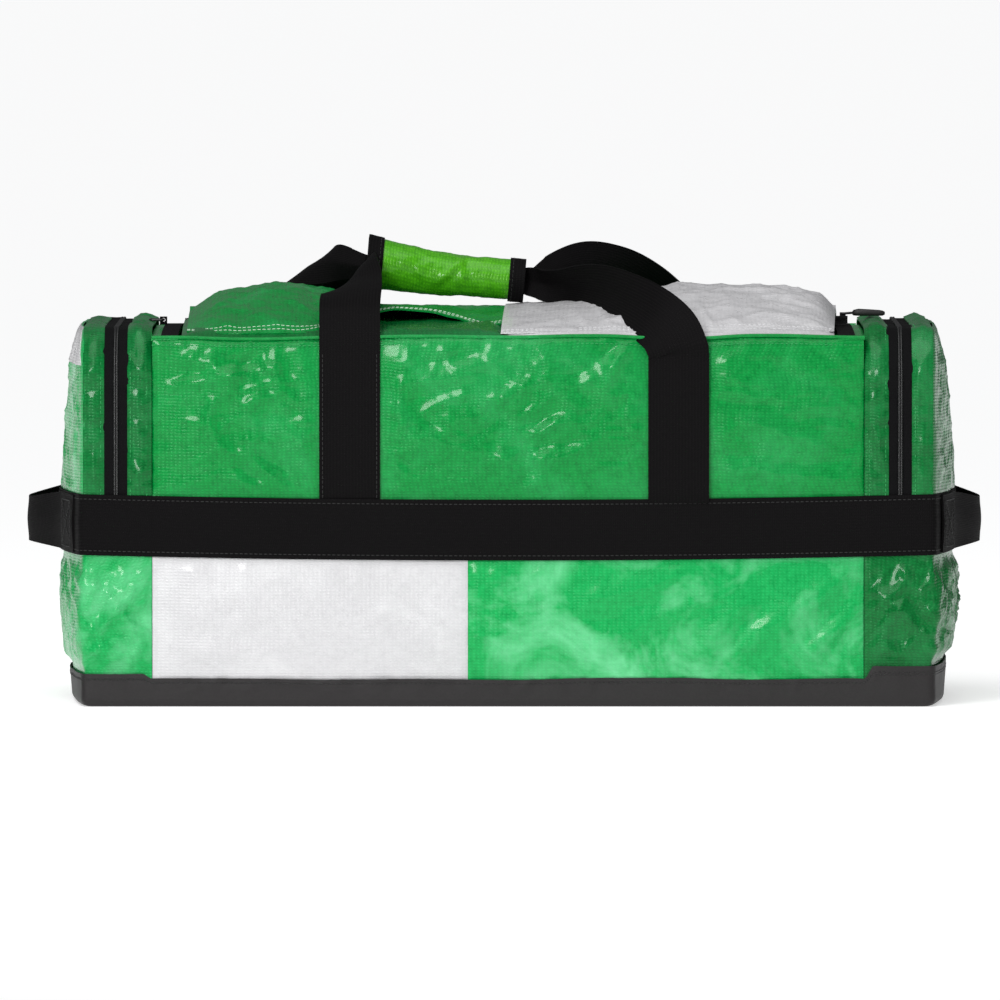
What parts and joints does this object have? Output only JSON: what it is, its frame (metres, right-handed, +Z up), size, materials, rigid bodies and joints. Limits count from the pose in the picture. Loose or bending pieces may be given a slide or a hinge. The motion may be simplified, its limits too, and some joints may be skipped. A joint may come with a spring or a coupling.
{
  "type": "holdall kit bag",
  "caption": "Long soft kit bag with end pockets, a lengthwise top zip under a storm flap, webbing belt, carrying handles with a grip wrap and end grab handles.",
  "frame": {"origin": "centre of the base, on the floor", "axes": "+X along the bag to its right end, -Y is the front, +Z is up"},
  "size_m": [0.7848, 0.3482, 0.3758],
  "materials": {
    "green_tarp": "gloss",
    "white_tarp": "satin",
    "lime_tarp": "gloss",
    "base_cloth": "satin",
    "webbing": "matte",
    "zip_tape": "matte",
    "zip_metal": "satin",
    "pull_rubber": "satin",
    "ring_plastic": "satin",
    "liner": "matte",
    "board": "matte"
  },
  "bodies": {
    "bag": {"base_panel": "base_cloth", "base_board": "board", "skirt_front": "base_cloth", "skirt_rear": "base_cloth", "front_upper_panel": "green_tarp", "rear_upper_panel": "green_tarp", "front_lower_white": "white_tarp", "front_lower_green": "green_tarp", "rear_lower_panel": "green_tarp", "belt_front": "webbing", "belt_rear": "webbing", "belt_left": "webbing", "belt_right": "webbing", "front_handle_legs": "webbing", "rear_handle_legs": "webbing", "ring_tab": "webbing", "left_skirt": "base_cloth", "left_divider": "liner", "left_end_lower": "green_tarp", "left_gusset_lower": "green_tarp", "left_gusset_inner": "green_tarp", "left_zip_inner": "zip_tape", "left_grab_handle": "webbing", "left_top_end": "green_tarp", "left_cross_tape": "webbing", "right_skirt": "base_cloth", "right_divider": "liner", "right_end_lower": "green_tarp", "right_gusset_lower": "green_tarp", "right_gusset_inner": "green_tarp", "right_zip_inner": "zip_tape", "right_grab_handle": "webbing", "right_top_end": "green_tarp", "right_cross_tape": "webbing"},
    "lid_rear": {"lid_rear_panel": "green_tarp", "lid_zip_rear": "zip_tape", "storm_flap_green": "green_tarp", "storm_flap_white": "white_tarp"},
    "lid_front": {"lid_front_green": "green_tarp", "lid_front_white": "white_tarp", "lid_zip_front": "zip_tape"},
    "front_handle": {"front_handle_strap": "webbing", "grip_wrap": "lime_tarp", "grip_bindings": "webbing"},
    "rear_handle": {"rear_handle_strap": "webbing"},
    "top_slider": {"main_slider": "zip_metal"},
    "top_pull": {"main_pull": "pull_rubber"},
    "ring": {"end_ring": "ring_plastic"},
    "left_flap": {"left_flap_panel": "green_tarp", "left_flap_gusset": "green_tarp", "left_flap_zip": "zip_tape"},
    "left_slider": {"left_pocket_slider": "zip_metal"},
    "left_pull": {"left_pocket_pull": "pull_rubber"},
    "right_flap": {"right_flap_panel": "green_tarp", "right_flap_gusset": "green_tarp", "right_flap_zip": "zip_tape"},
    "right_slider": {"right_pocket_slider": "zip_metal"},
    "right_pull": {"right_pocket_pull": "pull_rubber"}
  },
  "joints": [
    {"name": "lid_rear_fold", "type": "hinge", "parent": "bag", "child": "lid_rear", "pos_m": [0, 0.169, 0.3035], "axis": [-1, 0, 0], "range_deg": [0, 90]},
    {"name": "lid_front_fold", "type": "hinge", "parent": "bag", "child": "lid_front", "pos_m": [0, -0.169, 0.3035], "axis": [1, 0, 0], "range_deg": [0, 90]},
    {"name": "front_handle_fold", "type": "hinge", "parent": "bag", "child": "front_handle", "pos_m": [0, -0.1723, 0.3036], "axis": [1, 0, 0], "range_deg": [0, 160]},
    {"name": "rear_handle_fold", "type": "hinge", "parent": "bag", "child": "rear_handle", "pos_m": [0, 0.1723, 0.3036], "axis": [-1, 0, 0], "range_deg": [0, 160]},
    {"name": "top_zip_slide", "type": "slide", "parent": "bag", "child": "top_slider", "axis": [-1, 0, 0], "range_m": [0, 0.552]},
    {"name": "top_pull_swing", "type": "hinge", "parent": "top_slider", "child": "top_pull", "pos_m": [0.278, 0, 0.3182], "axis": [0, -1, 0], "range_deg": [0, 110]},
    {"name": "ring_swing", "type": "hinge", "parent": "bag", "child": "ring", "pos_m": [-0.286, 0, 0.313], "axis": [0, 1, 0], "range_deg": [0, 90]},
    {"name": "left_flap_fold", "type": "hinge", "parent": "bag", "child": "left_flap", "pos_m": [-0.3705, 0, 0.1722], "axis": [0, -1, 0], "range_deg": [0, 80]},
    {"name": "right_flap_fold", "type": "hinge", "parent": "bag", "child": "right_flap", "pos_m": [0.3705, 0, 0.1722], "axis": [0, 1, 0], "range_deg": [0, 80]},
    {"name": "left_zip_slide", "type": "slide", "parent": "bag", "child": "left_slider", "axis": [0, 0, 1], "range_m": [0, 0.07]},
    {"name": "left_pull_swing", "type": "hinge", "parent": "left_slider", "child": "left_pull", "pos_m": [-0.322, 0.1738, 0.189], "axis": [1, 0, 0], "range_deg": [0, 110]},
    {"name": "right_zip_slide", "type": "slide", "parent": "bag", "child": "right_slider", "axis": [0, 0, 1], "range_m": [0, 0.07]},
    {"name": "right_pull_swing", "type": "hinge", "parent": "right_slider", "child": "right_pull", "pos_m": [0.322, 0.1738, 0.189], "axis": [1, 0, 0], "range_deg": [0, 110]}
  ],
  "couplings": [
    {"joint": "lid_front_fold", "follows": "lid_rear_fold", "ratio": 1},
    {"joint": "front_handle_fold", "follows": "lid_rear_fold", "ratio": 1.7777},
    {"joint": "rear_handle_fold", "follows": "lid_rear_fold", "ratio": 1.7777}
  ]
}
